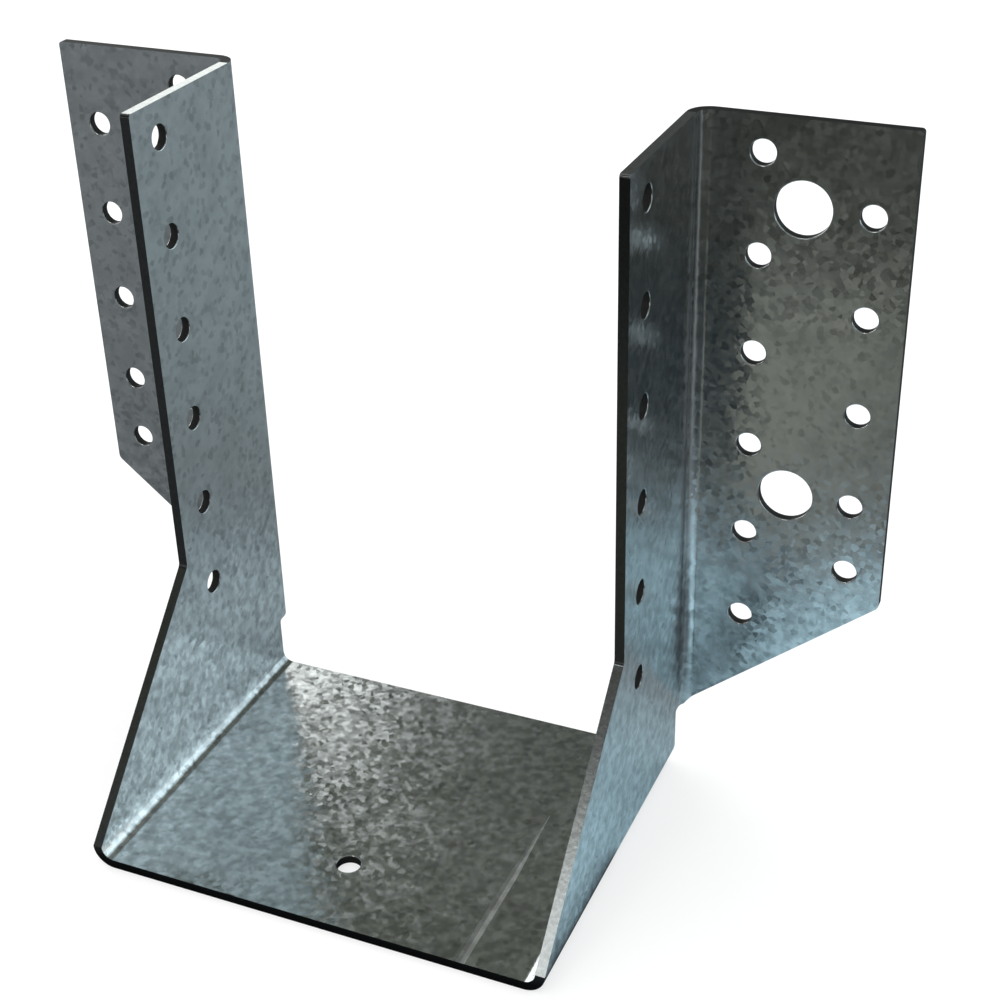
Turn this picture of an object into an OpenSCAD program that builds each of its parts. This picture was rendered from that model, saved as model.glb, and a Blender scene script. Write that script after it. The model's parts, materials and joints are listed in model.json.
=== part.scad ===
// Joist hanger folded from one blank of galvanised sheet steel.
// A seat and two side plates form the pocket for the joist, and a flange
// folded outwards from each plate's back edge is fixed to the header.
//
// X runs across the joist, +Y points at the header and +Z is up. The origin
// is under the seat, halfway across the pocket and halfway from the front
// edge to the header face.

/* [Joist pocket] */
// Clear width between the side plates
pocket_w = 96; // [60:1:140]
// Depth from the seat's front edge to the header face
hanger_depth = 82; // [70:1:110]
// Height from the underside of the seat to the top edges
hanger_h = 146; // [110:1:200]

/* [Sheet] */
// Thickness of the sheet
sheet_t = 2; // [1.5:0.1:3]
// Inner radius of every fold
fold_r = 2.5; // [1.5:0.1:4]
// Corner radius of the punched blank
corner_r = 1.5; // [0.5:0.1:3]

/* [Side plates] */
// Depth of the upright part of each side plate, back to the header face
arm_depth = 40; // [32:1:50]
// Height at which the front edges begin to flare out to the seat
flare_h = 48; // [30:1:60]
// Distance that the free back edges stay in front of the flanges' folds
relief = 1.5; // [1:0.5:4]

/* [Header flanges] */
// Width of each flange, measured from the outer face of its side plate
flange_w = 40.5; // [38:0.5:50]
// Height of the flange's outer lower corner
flange_low = 47; // [42:1:60]
// Height of the flange's inner lower corner, beside its side plate
flange_root = 13.3; // [8:0.1:30]

/* [Nail holes] */
// Diameter of every nail hole
nail_d = 5; // [3:0.1:6]
// Distance between neighbouring holes of a column
nail_pitch = 20; // [14:1:24]
// Distance from the top edge to the first nail hole
nail_top = 7; // [5:0.5:10]
// Distance from the plate's outer face to the flange's inner column
inner_column = 12; // [10:0.5:14]
// Distance from the flange's outer edge to its outer column
outer_column = 7.5; // [5:0.5:9]
// How much lower the flange's outer column starts than its inner one
column_offset = 10; // [6:0.5:12]
// Height of the outer column's last hole above the outer lower corner
last_nail = 7; // [5:0.5:10]
// Distance from a side plate's front edge to its column of holes
side_column = 9; // [6:0.5:14]
// Distance from the seat's front edge to the hole in the seat
seat_nail = 17; // [10:0.5:30]

/* [Bolt holes] */
// Diameter of the bolt holes
bolt_d = 11; // [8:0.5:13]
// Distance from the plate's outer face to the bolt holes
bolt_column = 20; // [19:0.5:24]
// Rows of the outer column from the upper bolt hole down to the lower one
bolt_rows = 3; // [1:1:3]

/* [Hidden] */
$fn = 48;

// Outer radius of every fold
outer_r = sheet_t + fold_r;
// Length by which a cutter runs past the sheet
past = 1;
// Radius of the blank's smaller corners
small_r = corner_r / 2;
// Number of steps in the arc of a rounded corner
corner_steps = 6;

// Key faces across the hanger
plate_in = pocket_w / 2;
plate_out = plate_in + sheet_t;
flange_end = plate_out + flange_w;

// Key faces from front to back
front_y = -hanger_depth / 2;
header_y = hanger_depth / 2;
arm_y = header_y - arm_depth;
fold_y = header_y - outer_r;
free_y = fold_y - relief;

// Height of the flange's lower edge at any distance across the hanger
function flange_edge(x) = flange_root + (x - plate_out) * (flange_low - flange_root) / flange_w;

// Nail columns: heights of the first and last holes, and number of holes
inner_first = hanger_h - nail_top;
inner_last = flange_edge(plate_out + inner_column) + nail_d / 2 + last_nail;
inner_count = floor((inner_first - inner_last) / nail_pitch) + 1;
outer_first = inner_first - column_offset;
outer_last = flange_low + last_nail;
outer_count = floor((outer_first - outer_last - 2 * nail_d) / nail_pitch) + 1;
side_lowest = outer_r + 4 * nail_d;
side_count = floor((inner_first - side_lowest) / nail_pitch) + 1;

// Where the columns stand
flange_inner_x = plate_out + inner_column;
flange_outer_x = flange_end - outer_column;
flange_bolt_x = plate_out + bolt_column;
side_nail_y = arm_y + side_column;
seat_nail_y = front_y + seat_nail;

// The points of an outline, given as corners [x, y, radius]
function rounded(corners) = [
    for (i = [0 : len(corners) - 1])
        let (
            before = corners[(i + len(corners) - 1) % len(corners)],
            after = corners[(i + 1) % len(corners)]
        )
        each corners[i][2] > 0 ? corner_arc(before, corners[i], after) : [flat(corners[i])]
];

// A corner's place without its radius, and a vector of length 1 between two places
function flat(corner) = [corner.x, corner.y];
function toward(from, to) = (flat(to) - flat(from)) / norm(flat(to) - flat(from));

// The arc that touches both edges of a corner
function corner_arc(before, corner, after) =
    let (
        radius = corner[2],
        back = toward(corner, before),
        ahead = toward(corner, after),
        half = acos(back * ahead) / 2,
        centre = flat(corner) + (back + ahead) / norm(back + ahead) * radius / sin(half),
        first = flat(corner) + back * radius / tan(half) - centre,
        last = flat(corner) + ahead * radius / tan(half) - centre,
        sweep = 180 - 2 * half
    )
    [
        for (t = [0 : 1 / corner_steps : 1])
            centre + (sin((1 - t) * sweep) * first + sin(t * sweep) * last) / sin(sweep)
    ];

// A quarter of the sheet's fold, from the +X axis to the +Y axis
module fold_section() {
    intersection() {
        difference() {
            circle(outer_r);
            circle(fold_r);
        }
        square(outer_r + past);
    }
}

// Section of the pocket across the joist: seat, two folds and two plates
module pocket_section() {
    translate([-plate_out + outer_r, 0]) square([2 * (plate_out - outer_r), sheet_t]);
    for (side = [-1, 1]) scale([side, 1]) {
        translate([plate_out - outer_r, outer_r]) scale([1, -1]) fold_section();
        translate([plate_in, outer_r]) square([sheet_t, hanger_h - outer_r]);
    }
}

// Outline of the seat and a side plate, seen from the side
module plate_outline() {
    polygon(rounded([
        [front_y, 0, 0],
        [free_y, 0, 0],
        [free_y, flange_root, min(small_r, relief / 2)],
        [fold_y, flange_root, 0],
        [fold_y, hanger_h, 0],
        [arm_y, hanger_h, small_r],
        [arm_y, flare_h, corner_r],
        [front_y, outer_r, 0]
    ]));
}

// Seat and side plates
module pocket() {
    intersection() {
        translate([0, header_y, 0]) rotate([90, 0, 0]) linear_extrude(hanger_depth) pocket_section();
        translate([-plate_out - past, 0, 0]) rotate([90, 0, 90])
            linear_extrude(2 * (plate_out + past)) plate_outline();
    }
}

// Section of a flange and its fold, seen from above
module flange_section() {
    translate([plate_out + fold_r, fold_y]) scale([-1, 1]) fold_section();
    translate([plate_out + fold_r, header_y - sheet_t]) square([flange_w - fold_r, sheet_t]);
}

// Outline of a flange and its fold, seen from the front
module flange_outline() {
    polygon(rounded([
        [plate_in, flange_root, 0],
        [plate_out, flange_root, 0],
        [flange_end, flange_low, corner_r],
        [flange_end, hanger_h, small_r],
        [plate_in, hanger_h, 0]
    ]));
}

// A header flange on the +X side, folded outwards from its side plate
module flange() {
    intersection() {
        linear_extrude(hanger_h) flange_section();
        translate([0, header_y + past, 0]) rotate([90, 0, 0])
            linear_extrude(outer_r + 2 * past) flange_outline();
    }
}

// Nail and bolt holes through the flange on the +X side
module flange_holes() {
    module hole(x, z, d) {
        translate([x, header_y + past, z]) rotate([90, 0, 0]) cylinder(d = d, h = sheet_t + 2 * past);
    }
    for (i = [0 : inner_count - 1]) hole(flange_inner_x, inner_first - i * nail_pitch, nail_d);
    for (i = [0 : outer_count - 1]) hole(flange_outer_x, outer_first - i * nail_pitch, nail_d);
    hole(flange_outer_x, outer_last, nail_d);
    for (i = [0, 1]) hole(flange_bolt_x, outer_first - i * bolt_rows * nail_pitch, bolt_d);
}

// Nail holes through the side plate on the +X side
module plate_holes() {
    for (i = [0 : side_count - 1])
        translate([plate_in - past, side_nail_y, inner_first - i * nail_pitch])
            rotate([0, 90, 0]) cylinder(d = nail_d, h = sheet_t + 2 * past);
}

// Nail hole through the seat
module seat_hole() {
    translate([0, seat_nail_y, -past]) cylinder(d = nail_d, h = sheet_t + 2 * past);
}

module hanger() {
    color("lightslategray") difference() {
        union() {
            pocket();
            flange();
            mirror([1, 0, 0]) flange();
        }
        flange_holes();
        mirror([1, 0, 0]) flange_holes();
        plate_holes();
        mirror([1, 0, 0]) plate_holes();
        seat_hole();
    }
}

hanger();
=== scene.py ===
import bpy
import bmesh
import json
import math
from mathutils import Euler, Matrix, Vector


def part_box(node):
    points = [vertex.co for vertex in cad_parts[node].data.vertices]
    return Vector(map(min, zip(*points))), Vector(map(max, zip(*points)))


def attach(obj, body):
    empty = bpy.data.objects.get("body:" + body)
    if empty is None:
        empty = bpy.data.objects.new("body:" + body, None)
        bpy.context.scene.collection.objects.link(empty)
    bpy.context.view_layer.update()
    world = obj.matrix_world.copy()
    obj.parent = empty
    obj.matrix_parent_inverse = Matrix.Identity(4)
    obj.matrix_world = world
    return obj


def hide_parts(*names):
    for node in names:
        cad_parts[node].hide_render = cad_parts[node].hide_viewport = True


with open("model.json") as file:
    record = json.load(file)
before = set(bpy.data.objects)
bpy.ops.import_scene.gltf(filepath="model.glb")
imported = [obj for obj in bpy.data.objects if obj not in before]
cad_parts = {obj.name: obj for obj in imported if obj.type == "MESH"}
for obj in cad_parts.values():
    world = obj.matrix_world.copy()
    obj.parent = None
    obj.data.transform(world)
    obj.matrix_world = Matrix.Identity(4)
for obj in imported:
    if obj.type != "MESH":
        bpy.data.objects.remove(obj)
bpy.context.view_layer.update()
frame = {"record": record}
cadLow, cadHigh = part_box("hanger")
mounts = {mount["name"]: mount for mount in frame["record"]["mounts"]}
print("frame loaded, hanger measures", [round(size, 4) for size in cadHigh - cadLow])


# camera: where the hanger is seen from
cameraSet = {
    "lens": 64.3,                             # millimetres
    "sensor": 36,                             # width of its sensor, millimetres
    "place": (0.1439, -0.2657, 0.2464),       # metres
    "azimuth": 24.06,                         # degrees round the hanger, 0 looks along +Y
    "elevation": 29.8,
    "roll": -1.58,
}


def newObject(name, data):
    made = bpy.data.objects.new(name, data)
    bpy.context.scene.collection.objects.link(made)
    return made


def makeCamera(settings):
    data = bpy.data.cameras.new("productCamera")
    data.lens = settings["lens"]
    data.sensor_width = settings["sensor"]
    camera = newObject("productCamera", data)
    aim = Euler((math.radians(90 - settings["elevation"]), 0, math.radians(settings["azimuth"])))
    roll = Matrix.Rotation(math.radians(settings["roll"]), 3, "Z")
    camera.rotation_euler = (aim.to_matrix() @ roll).to_euler()
    camera.location = settings["place"]
    bpy.context.scene.camera = camera


makeCamera(cameraSet)
print("camera placed")


# folded sheet: a flat blank with its holes, then folded; in millimetres until it is finished
mm = 1000
sheetSet = {
    "thick": mounts["seat_top"]["pos_m"][2] * mm,
    "plateOut": mounts["joist_nails_right_centre"]["pos_m"][0] * mm,
    "foldRadius": 2.5,         # inner radius of every fold
    "foldSteps": 12,
    "armFront": 1.0,           # front edge of the upright arms
    "flareTop": 48.0,          # height where the arms begin to flare out to the seat
    "freeBack": 35.0,          # back edge of the seat
    "flangeRoot": 13.3,        # height of the flange's inner lower corner
    "flangeLow": 47.0,         # height of its outer lower corner
    "cornerReach": 0.7,        # how far a rounded corner runs along its edges
    "cornerSteps": 6,
    "edgeRound": 0.2,          # rounding of the sheared edges
    "edgeSteps": 3,
    "holeStepLength": 0.45,    # length of a side of a hole's ring
    "sharpAngle": 40,          # degrees, edges that turn more than this stay sharp
    "markAcross": 32.5,        # the press leaves a line on the seat, beside the right fold
    "markWidths": (0.9, 1.0),  # how far it reaches to the left and to the right
    "markDepth": 0.06,
    "markFade": (-16.0, 5.0),  # where it begins to fade, and where it ends
    "markSteps": 8,
    "markNarrowest": 0.1,      # share of its width that is left at its end
    "sameSpot": 1e-4,          # points nearer than this are one point
}
thick = sheetSet["thick"]
foldRadius = sheetSet["foldRadius"]
bendLength = (foldRadius + thick / 2) * math.pi / 2     # measured in the middle of the sheet
seatEnd = sheetSet["plateOut"] - thick - foldRadius     # the blank's places where folds start and end
plateStart = seatEnd + bendLength
backEnd = cadHigh.y * mm - thick - foldRadius
flangeStart = backEnd + bendLength


def flatU(height):
    return plateStart + height - thick - foldRadius


def flatV(across):
    return flangeStart + across - sheetSet["plateOut"] - foldRadius


def holeList():
    holes = []
    for mount in mounts.values():
        x, y, z = (value * mm for value in mount["pos_m"])
        dims = mount["dims"]
        if mount["kind"] == "bore":
            holes.append((x, y, dims["r_mm"]))
        if mount["kind"] != "bolt_pattern":
            continue
        rise = dims.get("spacing_y_mm", 0) / 2
        for height in sorted({z - rise, z + rise}):
            if mount["axis"][1]:              # through the flanges, on both sides
                v = flatV(dims["spacing_x_mm"] / 2)
                holes += [(side * flatU(height), v, dims["hole_r_mm"]) for side in (-1, 1)]
            else:                             # through one side plate
                holes.append((math.copysign(flatU(height), x), y, dims["hole_r_mm"]))
    return holes


def blankOutline(settings):
    front, end, top = cadLow.y * mm, cadHigh.x * mm, cadHigh.z * mm
    slope = (settings["flangeLow"] - settings["flangeRoot"]) / (end - settings["plateOut"])
    reach = settings["cornerReach"]
    half = [
        (flatU(settings["flangeRoot"]), settings["freeBack"], reach),
        (flatU(settings["flangeRoot"]), (backEnd + flangeStart) / 2, 0),
        (flatU(settings["flangeRoot"] + slope * foldRadius), flangeStart, 0),
        (flatU(settings["flangeLow"]), flatV(end), reach),
        (flatU(top), flatV(end), reach),
        (flatU(top), settings["armFront"], reach),
        (flatU(settings["flareTop"]), settings["armFront"], reach),
        (plateStart, front, 0),
    ]
    return half + [(-u, v, cut) for u, v, cut in reversed(half)]


def ringEdges(verts):
    inRing = set(verts)
    # a dictionary holds each edge once, and unlike a set it keeps their order
    around = dict.fromkeys(edge for vert in verts for edge in vert.link_edges)
    return [edge for edge in around if edge.verts[0] in inRing and edge.verts[1] in inRing]


def roundSteps(settings):
    steps = settings["edgeSteps"]
    turns = [math.pi / 2 * step / steps for step in range(steps + 1)]
    return [(settings["edgeRound"] * (1 - math.cos(turn)), settings["edgeRound"] * (1 - math.sin(turn)))
            for turn in turns]


def makeBlank(settings):
    bm = bmesh.new()
    outline = blankOutline(settings)
    corners = [bm.verts.new((u, v, 0)) for u, v, cut in outline]
    bm.faces.new(corners)
    for corner, (u, v, cut) in zip(corners, outline):
        if cut:
            bmesh.ops.bevel(bm, geom=[corner], offset=cut, segments=settings["cornerSteps"], profile=0.5,
                            affect="VERTICES", material=-1)
    # the outline's rounded edge: insets that rise from the wall to the face
    steps = roundSteps(settings)
    for vert in bm.verts:
        vert.co.z = -steps[0][1]
    for (near, _), (far, high) in zip(steps, steps[1:]):
        inner = max(bm.faces, key=lambda face: face.calc_area())
        bmesh.ops.inset_region(bm, faces=[inner], thickness=far - near, use_even_offset=True)
        for vert in inner.verts:
            vert.co.z = -high
    inner = max(bm.faces, key=lambda face: face.calc_area())
    rims = list(inner.edges)
    bmesh.ops.delete(bm, geom=[inner], context="FACES_ONLY")
    # each hole's rounded edge, from the face down to the wall
    for u, v, radius in holeList():
        count = 8 * math.ceil(2 * math.pi * radius / settings["holeStepLength"] / 8)    # a multiple of eight
        outer = radius + settings["edgeRound"]
        made = bmesh.ops.create_circle(bm, cap_ends=False, radius=outer, segments=count,
                                       matrix=Matrix.Translation((u, v, 0)))
        ring = ringEdges(made["verts"])
        rims += ring
        reached = outer
        for near, low in reversed(steps[:-1]):
            grown = bmesh.ops.extrude_edge_only(bm, edges=ring)["geom"]
            verts = [part for part in grown if isinstance(part, bmesh.types.BMVert)]
            factor = (radius + near) / reached
            bmesh.ops.scale(bm, vec=(factor, factor, 1), verts=verts, space=Matrix.Translation((-u, -v, 0)))
            for vert in verts:
                vert.co.z = -low
            reached = radius + near
            ring = ringEdges(verts)
    bmesh.ops.triangle_fill(bm, use_beauty=True, use_dissolve=False, edges=rims, normal=(0, 0, 1))
    # walls down to the middle of the sheet, and the other side as a mirror image
    border = [edge for edge in bm.edges if edge.is_boundary]
    grown = bmesh.ops.extrude_edge_only(bm, edges=border)["geom"]
    for part in grown:
        if isinstance(part, bmesh.types.BMVert):
            part.co.z = -thick / 2
    copied = bmesh.ops.duplicate(bm, geom=bm.verts[:] + bm.edges[:] + bm.faces[:])["geom"]
    verts = [part for part in copied if isinstance(part, bmesh.types.BMVert)]
    bmesh.ops.scale(bm, vec=(1, 1, -1), verts=verts, space=Matrix.Translation((0, 0, thick / 2)))
    bmesh.ops.remove_doubles(bm, verts=bm.verts, dist=settings["sameSpot"])
    bmesh.ops.recalc_face_normals(bm, faces=bm.faces)
    return bm


def cutAlong(bm, place, normal, settings):
    bmesh.ops.bisect_plane(bm, geom=bm.verts[:] + bm.edges[:] + bm.faces[:], dist=settings["sameSpot"],
                           plane_co=place, plane_no=normal)


def cutFoldLines(bm, settings):
    for step in range(settings["foldSteps"] + 1):
        along = bendLength * step / settings["foldSteps"]
        for side in (-1, 1):
            cutAlong(bm, (side * (seatEnd + along), 0, 0), (1, 0, 0), settings)
        cutAlong(bm, (0, backEnd + along, 0), (0, 1, 0), settings)


def pressMark(bm, settings):
    left, right = settings["markWidths"]
    middle = settings["markAcross"]
    start, end = settings["markFade"]
    steps = settings["markSteps"]
    for across in (middle - left, middle, middle + right):
        cutAlong(bm, (across, 0, 0), (1, 0, 0), settings)
    for step in range(steps + 1):
        cutAlong(bm, (0, start + (end - start) * step / steps, 0), (0, 1, 0), settings)
    bm.normal_update()
    marked = set()
    for face in bm.faces:
        place = face.calc_center_median()
        onTop = place.z > -thick / 2 and face.normal.z > 0.9
        if onTop and place.y < end and middle - left < place.x < middle + right:
            marked.add(face)
    # it grows shallower and narrower towards its end; the slack counts its own borders in
    slack = 1e-3
    lowest = -settings["edgeRound"] * 1.01
    for vert in bm.verts:
        aside = vert.co.x - middle
        inside = -left < aside * (1 - slack) < right
        if not inside or vert.co.z < lowest or vert.co.y > end + slack:
            continue
        share = min((end - vert.co.y) / (end - start), 1)
        vert.co.x = middle + aside * max(share, settings["markNarrowest"])
        if abs(aside) < slack:
            vert.co.z -= settings["markDepth"] * share
    return marked


def folded(place):
    side = math.copysign(1, place.x)
    u, y, depth = abs(place.x), place.y, -place.z       # depth goes from the pocket's face outwards
    if y > backEnd:                                     # the flange's fold, about an upright line
        turn = min((y - backEnd) / bendLength, 1) * math.pi / 2
        radius = foldRadius + thick - depth
        depth = thick + foldRadius - radius * math.cos(turn) + max(y - flangeStart, 0)
        y = backEnd + radius * math.sin(turn)
    if u <= seatEnd:
        return Vector((side * u, y, thick - depth))
    turn = min((u - seatEnd) / bendLength, 1) * math.pi / 2      # the fold beside the seat
    radius = foldRadius + depth
    height = thick + foldRadius - radius * math.cos(turn) + max(u - plateStart, 0)
    return Vector((side * (seatEnd + radius * math.sin(turn)), y, height))


# which finish a face has: the outline's walls are sheared, and painted nearly black as shade on the flanges
# and in the holes
zincFinish, shearedFinish, paintedShadeFinish, rubbedFinish = range(4)


def finishIndex(face, holes):
    if abs(face.normal.z) > 0.2:        # not a wall
        return zincFinish
    place = face.calc_center_median().xy
    inHole = any((place - middle).length < radius for middle, radius in holes)
    return paintedShadeFinish if inHole or place.y > backEnd else shearedFinish


def steadyOrder(bm):
    # the steps above store the parts in an order that changes from run to run, so their places decide it
    for parts, place in (
        (bm.verts, lambda vert: vert.co[:]),
        (bm.edges, lambda edge: (edge.verts[0].co + edge.verts[1].co)[:]),
        (bm.faces, lambda face: face.calc_center_median()[:]),
    ):
        rank = {part: number for number, part in enumerate(sorted(parts, key=place))}
        parts.sort(key=rank.get)


def makeSheet(settings):
    bm = makeBlank(settings)
    cutFoldLines(bm, settings)
    marked = pressMark(bm, settings)
    holes = [(Vector((u, v)), radius + settings["edgeRound"]) for u, v, radius in holeList()]
    bm.normal_update()
    for face in bm.faces:
        face.smooth = True
        face.material_index = rubbedFinish if face in marked else finishIndex(face, holes)
    sharpAngle = math.radians(settings["sharpAngle"])
    for edge in bm.edges:
        edge.smooth = not (marked.intersection(edge.link_faces) or edge.calc_face_angle(0) > sharpAngle)
    for vert in bm.verts:
        vert.co = folded(vert.co)
    bmesh.ops.scale(bm, vec=(1 / mm,) * 3, verts=bm.verts)
    steadyOrder(bm)
    mesh = bpy.data.meshes.new("foldedSheet")
    bm.to_mesh(mesh)
    print("sheet folded,", len(bm.faces), "faces, open edges", sum(not edge.is_manifold for edge in bm.edges))
    bm.free()
    sheet = newObject("foldedSheet", mesh)
    smooth = sheet.modifiers.new("evenNormals", "WEIGHTED_NORMAL")
    smooth.keep_sharp = True
    return sheet


sheet = makeSheet(sheetSet)
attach(sheet, "root")
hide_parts("hanger")


# finishes
zincSet = {
    "colour": (0.60, 0.62, 0.625),
    "cellColour": (0.43, 0.45, 0.455),      # tone of the darkest crystals
    "dullShare": 0.35,                      # share of the crystals that are darker
    "crystal": 0.00115,                     # width of a zinc crystal in metres
    "tilt": 0.06,                           # how far the crystals lean from the surface
    "roughness": (0.13, 0.25),
    "roughShare": (0.35, 1.15),             # the crystal's and smudge's sum where it is least and most rough
    "smudge": 0.022,                        # size of the dull patches
    "cloud": (0.0042, 0.86),                # size of the faint clouds, and the tone of the darkest
    "cloudNoise": (0.35, 0.6),              # the noise where they are darkest, and where they end
    "mottle": (0.0024, 0.82, 1.17),         # finer blotches low down: size, darkest and lightest tone
    "mottleNoise": (0.40, 0.60),
    "mottleHeight": (0.064, 0.040),
    "polish": (1.36, 0.8),                  # painted highlight and shade: tone of the pocket's sides beside the seat's front and its back
    "polishHeight": (0.026, 0.002),
    "polishAlong": (-0.030, 0.020),
    "polishStart": (-0.0025, 0.0),          # across, in metres from the pocket's side
    "polishEnd": (0.0005, 0.0015),
    "grain": 0.00035,
    "grainBump": {"Strength": 0.12, "Distance": 0.00004},
}
# where the press rubbed the seat
rubbedSet = dict(zincSet, colour=(0.44, 0.45, 0.44), tilt=0.02, roughness=(0.36, 0.44))
edgeSet = {
    "tone": 0.08,
    "topHighlightTone": 0.38,                        # painted highlight on top of the arms
    "tint": (0.97, 1.0, 0.99),
    "highlightFacing": (0.6, 0.9),                # how far up a face has to look to get the painted highlight
    "streaks": 0.25,                        # how much the shearing streaks darken it
    "streak": 0.0009,
    "streakNoise": (0.3, 0.7),
    "streakBump": {"Strength": 0.3, "Distance": 0.00005},
    "roughness": 0.2,
    "metal": 1,
    "gloss": 0.5,
}
# painted shade: the hole walls and the flanges' edges are painted nearly black
dullEdgeSet = dict(edgeSet, tone=0.02, topHighlightTone=0.02, roughness=0.6, metal=0, gloss=0.1)


def addNode(tree, kind, settings=None, **sources):
    node = tree.nodes.new("ShaderNode" + kind)
    for name, value in (settings or {}).items():
        if name in node.inputs:
            node.inputs[name].default_value = value
        else:
            setattr(node, name, value)
    for name, source in sources.items():    # in0, in1 ... are inputs by number
        tree.links.new(source, node.inputs[int(name[2:]) if name.startswith("in") else name])
    return node


def ramp(tree, value, start, end, low=0.0, high=1.0, smooth=False):
    limits = {"From Min": start, "From Max": end, "To Min": low, "To Max": high}
    node = addNode(tree, "MapRange", limits, Value=value)
    if smooth:
        node.interpolation_type = "SMOOTHSTEP"
    return node.outputs[0]


def times(tree, first, second):
    return addNode(tree, "Math", {"operation": "MULTIPLY"}, in0=first, in1=second).outputs[0]


def blend(tree, factor, first, second):     # each is a colour, or made by other nodes
    node = addNode(tree, "Mix", {"data_type": "RGBA"}, in0=factor)
    for socket, colour in ((node.inputs[6], first), (node.inputs[7], second)):
        if isinstance(colour, tuple):
            socket.default_value = (*colour, 1)
        else:
            tree.links.new(colour, socket)
    return node.outputs[2]


def towardsOne(tree, share, amount):        # the amount where the share is 1, and 1 where it is 0
    return addNode(tree, "Mix", {"A": 1.0}, in0=share, in3=amount).outputs[0]


def scaled(tree, colour, amount):
    node = addNode(tree, "VectorMath", {"operation": "SCALE"}, Scale=amount)
    if isinstance(colour, tuple):
        node.inputs[0].default_value = colour
    else:
        tree.links.new(colour, node.inputs[0])
    return node.outputs[0]


def vectorMath(tree, operation, first, second=None):        # the second is a vector, or nothing
    node = addNode(tree, "VectorMath", {"operation": operation}, in0=first)
    if second:
        node.inputs[1].default_value = second
    return node.outputs["Value" if operation in ("DISTANCE", "DOT_PRODUCT") else "Vector"]


def noise(tree, place, size, detail):
    return addNode(tree, "TexNoise", {"Scale": 1 / size, "Detail": detail}, Vector=place).outputs["Fac"]


def newMaterial(name):
    material = bpy.data.materials.new(name)
    material.use_nodes = True
    tree = material.node_tree
    return material, tree, tree.nodes["Principled BSDF"], addNode(tree, "TexCoord").outputs["Object"]


def makeZinc(name, settings):
    material, tree, shader, place = newMaterial(name)
    shader.inputs["Metallic"].default_value = 1
    crystals = addNode(tree, "TexVoronoi", {"Scale": 1 / settings["crystal"]}, Vector=place).outputs["Color"]
    parts = addNode(tree, "SeparateColor", Color=crystals).outputs
    # tone: the crystals, faint clouds, blotches low down, and a painted highlight and shade on the pocket's
    # sides beside the seat
    shade = ramp(tree, parts[0], 0, settings["dullShare"])
    colour = blend(tree, shade, settings["cellColour"], settings["colour"])
    cloudSize, cloudTone = settings["cloud"]
    cloud = ramp(tree, noise(tree, place, cloudSize, 4.0), *settings["cloudNoise"], cloudTone)
    colour = scaled(tree, colour, cloud)
    xyz = addNode(tree, "SeparateXYZ", Vector=place).outputs
    mottleSize, darkest, lightest = settings["mottle"]
    mottle = ramp(tree, noise(tree, place, mottleSize, 2.0), *settings["mottleNoise"], darkest, lightest)
    colour = scaled(tree, colour, towardsOne(tree, ramp(tree, xyz[2], *settings["mottleHeight"]), mottle))
    # painted highlight and shade: the pocket's sides low down are lighter beside the seat's front and darker
    # at its back
    across = addNode(tree, "Math", {"operation": "ABSOLUTE"}, in0=xyz[0]).outputs[0]
    inside = (sheetSet["plateOut"] - thick) / mm
    starts = [inside + reach for reach in settings["polishStart"]]
    ends = [inside + reach for reach in settings["polishEnd"]]
    side = times(tree, ramp(tree, across, *starts), ramp(tree, across, *ends, 1, 0))
    lowDown = times(tree, side, ramp(tree, xyz[2], *settings["polishHeight"]))
    polish = ramp(tree, xyz[1], *settings["polishAlong"], *settings["polish"])
    colour = scaled(tree, colour, towardsOne(tree, lowDown, polish))
    tree.links.new(colour, shader.inputs["Base Color"])
    # roughness, by crystal and by smudge
    mixed = addNode(tree, "Math", {"operation": "MULTIPLY_ADD"}, in0=parts[1],
                    in2=noise(tree, place, settings["smudge"], 3.0))
    mixed.inputs[1].default_value = 0.5
    roughness = ramp(tree, mixed.outputs[0], *settings["roughShare"], *settings["roughness"])
    tree.links.new(roughness, shader.inputs["Roughness"])
    # each crystal leans a little its own way
    centred = vectorMath(tree, "SUBTRACT", crystals, (0.5, 0.5, 0.5))
    lean = addNode(tree, "VectorMath", {"operation": "SCALE", "Scale": settings["tilt"]}, in0=centred)
    normal = addNode(tree, "NewGeometry").outputs["Normal"]
    leaning = addNode(tree, "VectorMath", {"operation": "ADD"}, in0=normal, in1=lean.outputs[0]).outputs[0]
    bump = addNode(tree, "Bump", settings["grainBump"], Height=noise(tree, place, settings["grain"], 2.0),
                   Normal=vectorMath(tree, "NORMALIZE", leaning))
    tree.links.new(bump.outputs[0], shader.inputs["Normal"])
    return material


def makeCutEdge(name, settings):
    material, tree, shader, place = newMaterial(name)
    shader.inputs["Metallic"].default_value = settings["metal"]
    shader.inputs["Roughness"].default_value = settings["roughness"]
    shader.inputs["Specular IOR Level"].default_value = settings["gloss"]
    facing = addNode(tree, "SeparateXYZ", Vector=addNode(tree, "NewGeometry").outputs["Normal"]).outputs[2]
    streaks = noise(tree, place, settings["streak"], 3.0)
    # painted highlight: sheared faces that look up are lighter
    tone = times(tree, ramp(tree, facing, *settings["highlightFacing"], settings["tone"], settings["topHighlightTone"]),
                 ramp(tree, streaks, *settings["streakNoise"], 1 - settings["streaks"]))
    tree.links.new(scaled(tree, settings["tint"], tone), shader.inputs["Base Color"])
    bump = addNode(tree, "Bump", settings["streakBump"], Height=streaks)
    tree.links.new(bump.outputs[0], shader.inputs["Normal"])
    return material


# in the order of the finishes that the faces name
for finish in (makeZinc("galvanisedZinc", zincSet), makeCutEdge("shearedEdge", edgeSet),
               makeCutEdge("dullEdge", dullEdgeSet), makeZinc("rubbedZinc", rubbedSet)):
    sheet.data.materials.append(finish)
print("finishes made")


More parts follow.
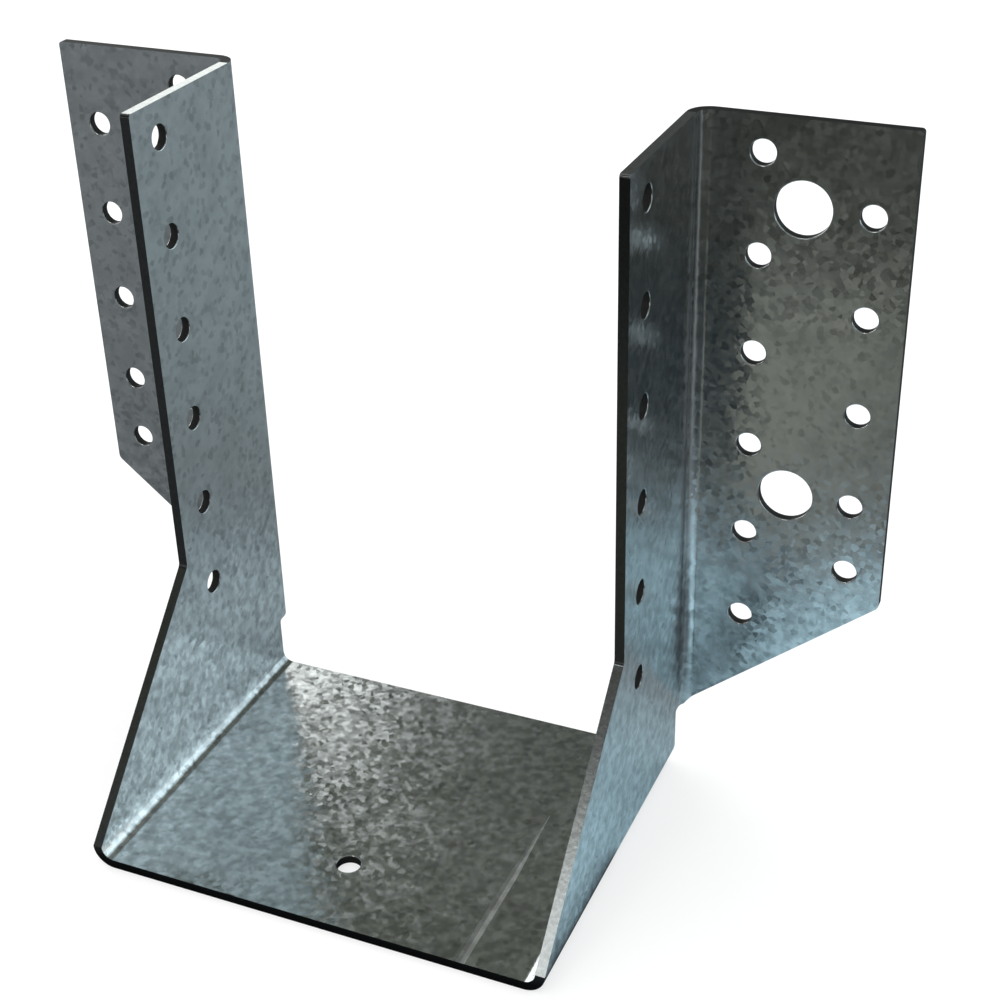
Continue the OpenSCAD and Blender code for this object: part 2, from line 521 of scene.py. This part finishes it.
# studio: a white floor and sky, with soft boxes round the hanger
studioSet = {
    "floorSize": 6.0,
    "floorColour": 0.45,
    "floorLift": 0.60,                      # what lifts the floor to white
    # the floor as metal mirrors it, in painted light and shade: a grey mat of painted shade, and patches of
    # painted light and shadow with a tone, a middle and where they fade
    "mirroredShadeTone": (0.189, 0.202, 0.211),
    "lightAndShadePatches": [
        ((0.235, 0.279, 0.295), (0.09, 0.36), (0.11, 0.44)),
        ((0.292, 0.356, 0.383), (-0.01, 0.035), (0.021, 0.085)),
        ((0.373, 0.454, 0.486), (-0.035, 0.040), (0.015, 0.058)),
        ((0.62, 0.88, 1.0), (0.090, -0.003), (0.02, 0.08)),
        ((0.238, 0.244, 0.211), (0.03, -0.15), (0.033, 0.13)),
        ((0.14, 0.173, 0.194), (0.103, 0.026), (0.013, 0.05)),
        ((0.036, 0.05, 0.059), (0.145, -0.15), (0.03, 0.12)),
    ],
    "viewerShadowTone": (0.048, 0.05, 0.042),     # painted shadow where the viewer stands
    "viewerSide": (0.72, -0.69, 0),
    "viewerReach": (0.130, 0.170),
    "viewerAlong": (0, -0.08),
    "footprintMiddle": (0, -0.022, 0),      # painted shadow under the front of the seat
    "footprint": ((0.0508, 0.054), (0.021, 0.026)),     # where it fades, across and along
    "footprintShadowTone": (0.05, 0.055, 0.06),
    "mirroredShadeMiddle": (0.05, 0.03, 0),
    "mirroredShadeReach": (1.0, 1.8),                 # where the painted shade ends and the pale floor begins
    "paleTone": (0.75, 0.76, 0.76),
    "walls": (0.118, 0.127, 0.12),          # the studio as metal mirrors it: behind the hanger
    "band": (0.11, 0.12, 0.095),            # above the soft boxes
    "overhead": (0.40, 0.41, 0.40),
    "bandRise": (0.55, 0.68),               # how far up the walls turn into the band
    "overheadRise": (0.75, 0.9),
    "frontAlong": (0.35, -0.1),             # the pale front and sides, low down
    "frontRise": (0.35, 0.1),
    # soft boxes: azimuth, lowest and highest elevation, width, colour, glow
    "boxes": {
        "leftBox": (-54.3, 0, 37.3, 1.5, (0.97, 1.0, 0.98), 1.97),
        "rightLowBox": (48, 0, 32.5, 1.5, (0.78, 0.96, 1.04), 1.3),
        "rightBox": (48, 32.5, 36.5, 1.5, (0.78, 0.96, 1.04), 1.5),
        "rightTopBox": (48, 36.5, 50, 1.5, (0.74, 0.95, 1.05), 0.66),
        "frontBox": (-163, 33, 43, 0.42, (0.96, 1.0, 1.0), 6.5),
    },
    "boxDistance": 1.6,
}


def mirrorRays(tree, path):
    return addNode(tree, "Math", {"operation": "MAXIMUM"}, in0=path["Is Glossy Ray"],
                   in1=path["Is Transmission Ray"]).outputs[0]


def makeFloor(settings):
    bm = bmesh.new()
    bmesh.ops.create_grid(bm, x_segments=1, y_segments=1, size=settings["floorSize"])
    mesh = bpy.data.meshes.new("paleFloor")
    bm.to_mesh(mesh)
    bm.free()
    floor = newObject("paleFloor", mesh)
    material, tree, shader, place = newMaterial("paleFloor")
    tree.nodes.remove(shader)
    towards = vectorMath(tree, "DOT_PRODUCT", place, settings["viewerSide"])
    xyz = addNode(tree, "SeparateXYZ", Vector=place).outputs
    # painted shadow of the viewer on the floor, seen only in the metal
    viewer = times(tree, ramp(tree, towards, *settings["viewerReach"], smooth=True),
                   ramp(tree, xyz[1], *settings["viewerAlong"], smooth=True))
    tone = blend(tree, viewer, settings["mirroredShadeTone"], settings["viewerShadowTone"])
    # painted pools of light and painted shadows on the floor, seen only in the metal
    for colour, middle, (near, far) in settings["lightAndShadePatches"]:
        away = vectorMath(tree, "DISTANCE", place, (*middle, 0))
        tone = blend(tree, ramp(tree, away, far, near, smooth=True), tone, colour)
    away = vectorMath(tree, "DISTANCE", place, settings["mirroredShadeMiddle"])
    tone = blend(tree, ramp(tree, away, *settings["mirroredShadeReach"], smooth=True), tone, settings["paleTone"])
    # painted shadow round the seat's front, seen only in the metal
    apart = vectorMath(tree, "SUBTRACT", place, settings["footprintMiddle"])
    apart = addNode(tree, "SeparateXYZ", Vector=vectorMath(tree, "ABSOLUTE", apart)).outputs
    footprint = [ramp(tree, apart[axis], far, near) for axis, (near, far) in enumerate(settings["footprint"])]
    tone = blend(tree, times(tree, *footprint), tone, settings["footprintShadowTone"])
    path = addNode(tree, "LightPath").outputs
    white = (settings["floorColour"],) * 3
    paint = addNode(tree, "BsdfDiffuse", Color=blend(tree, mirrorRays(tree, path), white, tone))
    lift = addNode(tree, "Math", {"operation": "MULTIPLY"}, in0=path["Is Camera Ray"])
    lift.inputs[1].default_value = settings["floorLift"]
    lifted = addNode(tree, "Emission", Strength=lift.outputs[0])
    both = addNode(tree, "AddShader", in0=paint.outputs[0], in1=lifted.outputs[0])
    tree.links.new(both.outputs[0], tree.nodes["Material Output"].inputs["Surface"])
    mesh.materials.append(material)


def makeSky(settings):
    world = bpy.data.worlds.new("studio")
    bpy.context.scene.world = world
    world.use_nodes = True
    tree = world.node_tree
    xyz = addNode(tree, "SeparateXYZ", Vector=addNode(tree, "TexCoord").outputs["Generated"]).outputs
    band = ramp(tree, xyz[2], *settings["bandRise"], smooth=True)
    tone = blend(tree, band, settings["walls"], settings["band"])
    front = times(tree, ramp(tree, xyz[1], *settings["frontAlong"], smooth=True),
                  ramp(tree, xyz[2], *settings["frontRise"], smooth=True))
    tone = blend(tree, front, tone, settings["paleTone"])
    overhead = ramp(tree, xyz[2], *settings["overheadRise"], smooth=True)
    tone = blend(tree, overhead, tone, settings["overhead"])
    rays = mirrorRays(tree, addNode(tree, "LightPath").outputs)
    tree.links.new(blend(tree, rays, (1.0, 1.0, 1.0), tone), tree.nodes["Background"].inputs["Color"])
    tree.nodes["Background"].inputs["Strength"].default_value = 1.0


def makeSoftBox(name, distance, azimuth, lowest, highest, width, colour, glow):
    low, high = (distance * math.tan(math.radians(angle)) for angle in (lowest, highest))
    data = bpy.data.lights.new(name, "AREA")
    data.shape = "RECTANGLE"
    data.size, data.size_y = width, high - low
    data.color = colour
    data.energy = glow * math.pi * data.size * data.size_y
    lamp = newObject(name, data)
    turn = math.radians(azimuth)
    lamp.location = (distance * math.sin(turn), distance * math.cos(turn), (low + high) / 2)
    lamp.rotation_euler = (math.radians(90), 0, math.pi - turn)
    lamp.visible_camera = False


makeFloor(studioSet)
makeSky(studioSet)
for name, box in studioSet["boxes"].items():
    makeSoftBox(name, studioSet["boxDistance"], *box)
bpy.context.scene.view_settings.view_transform = "Standard"
print("studio lit")
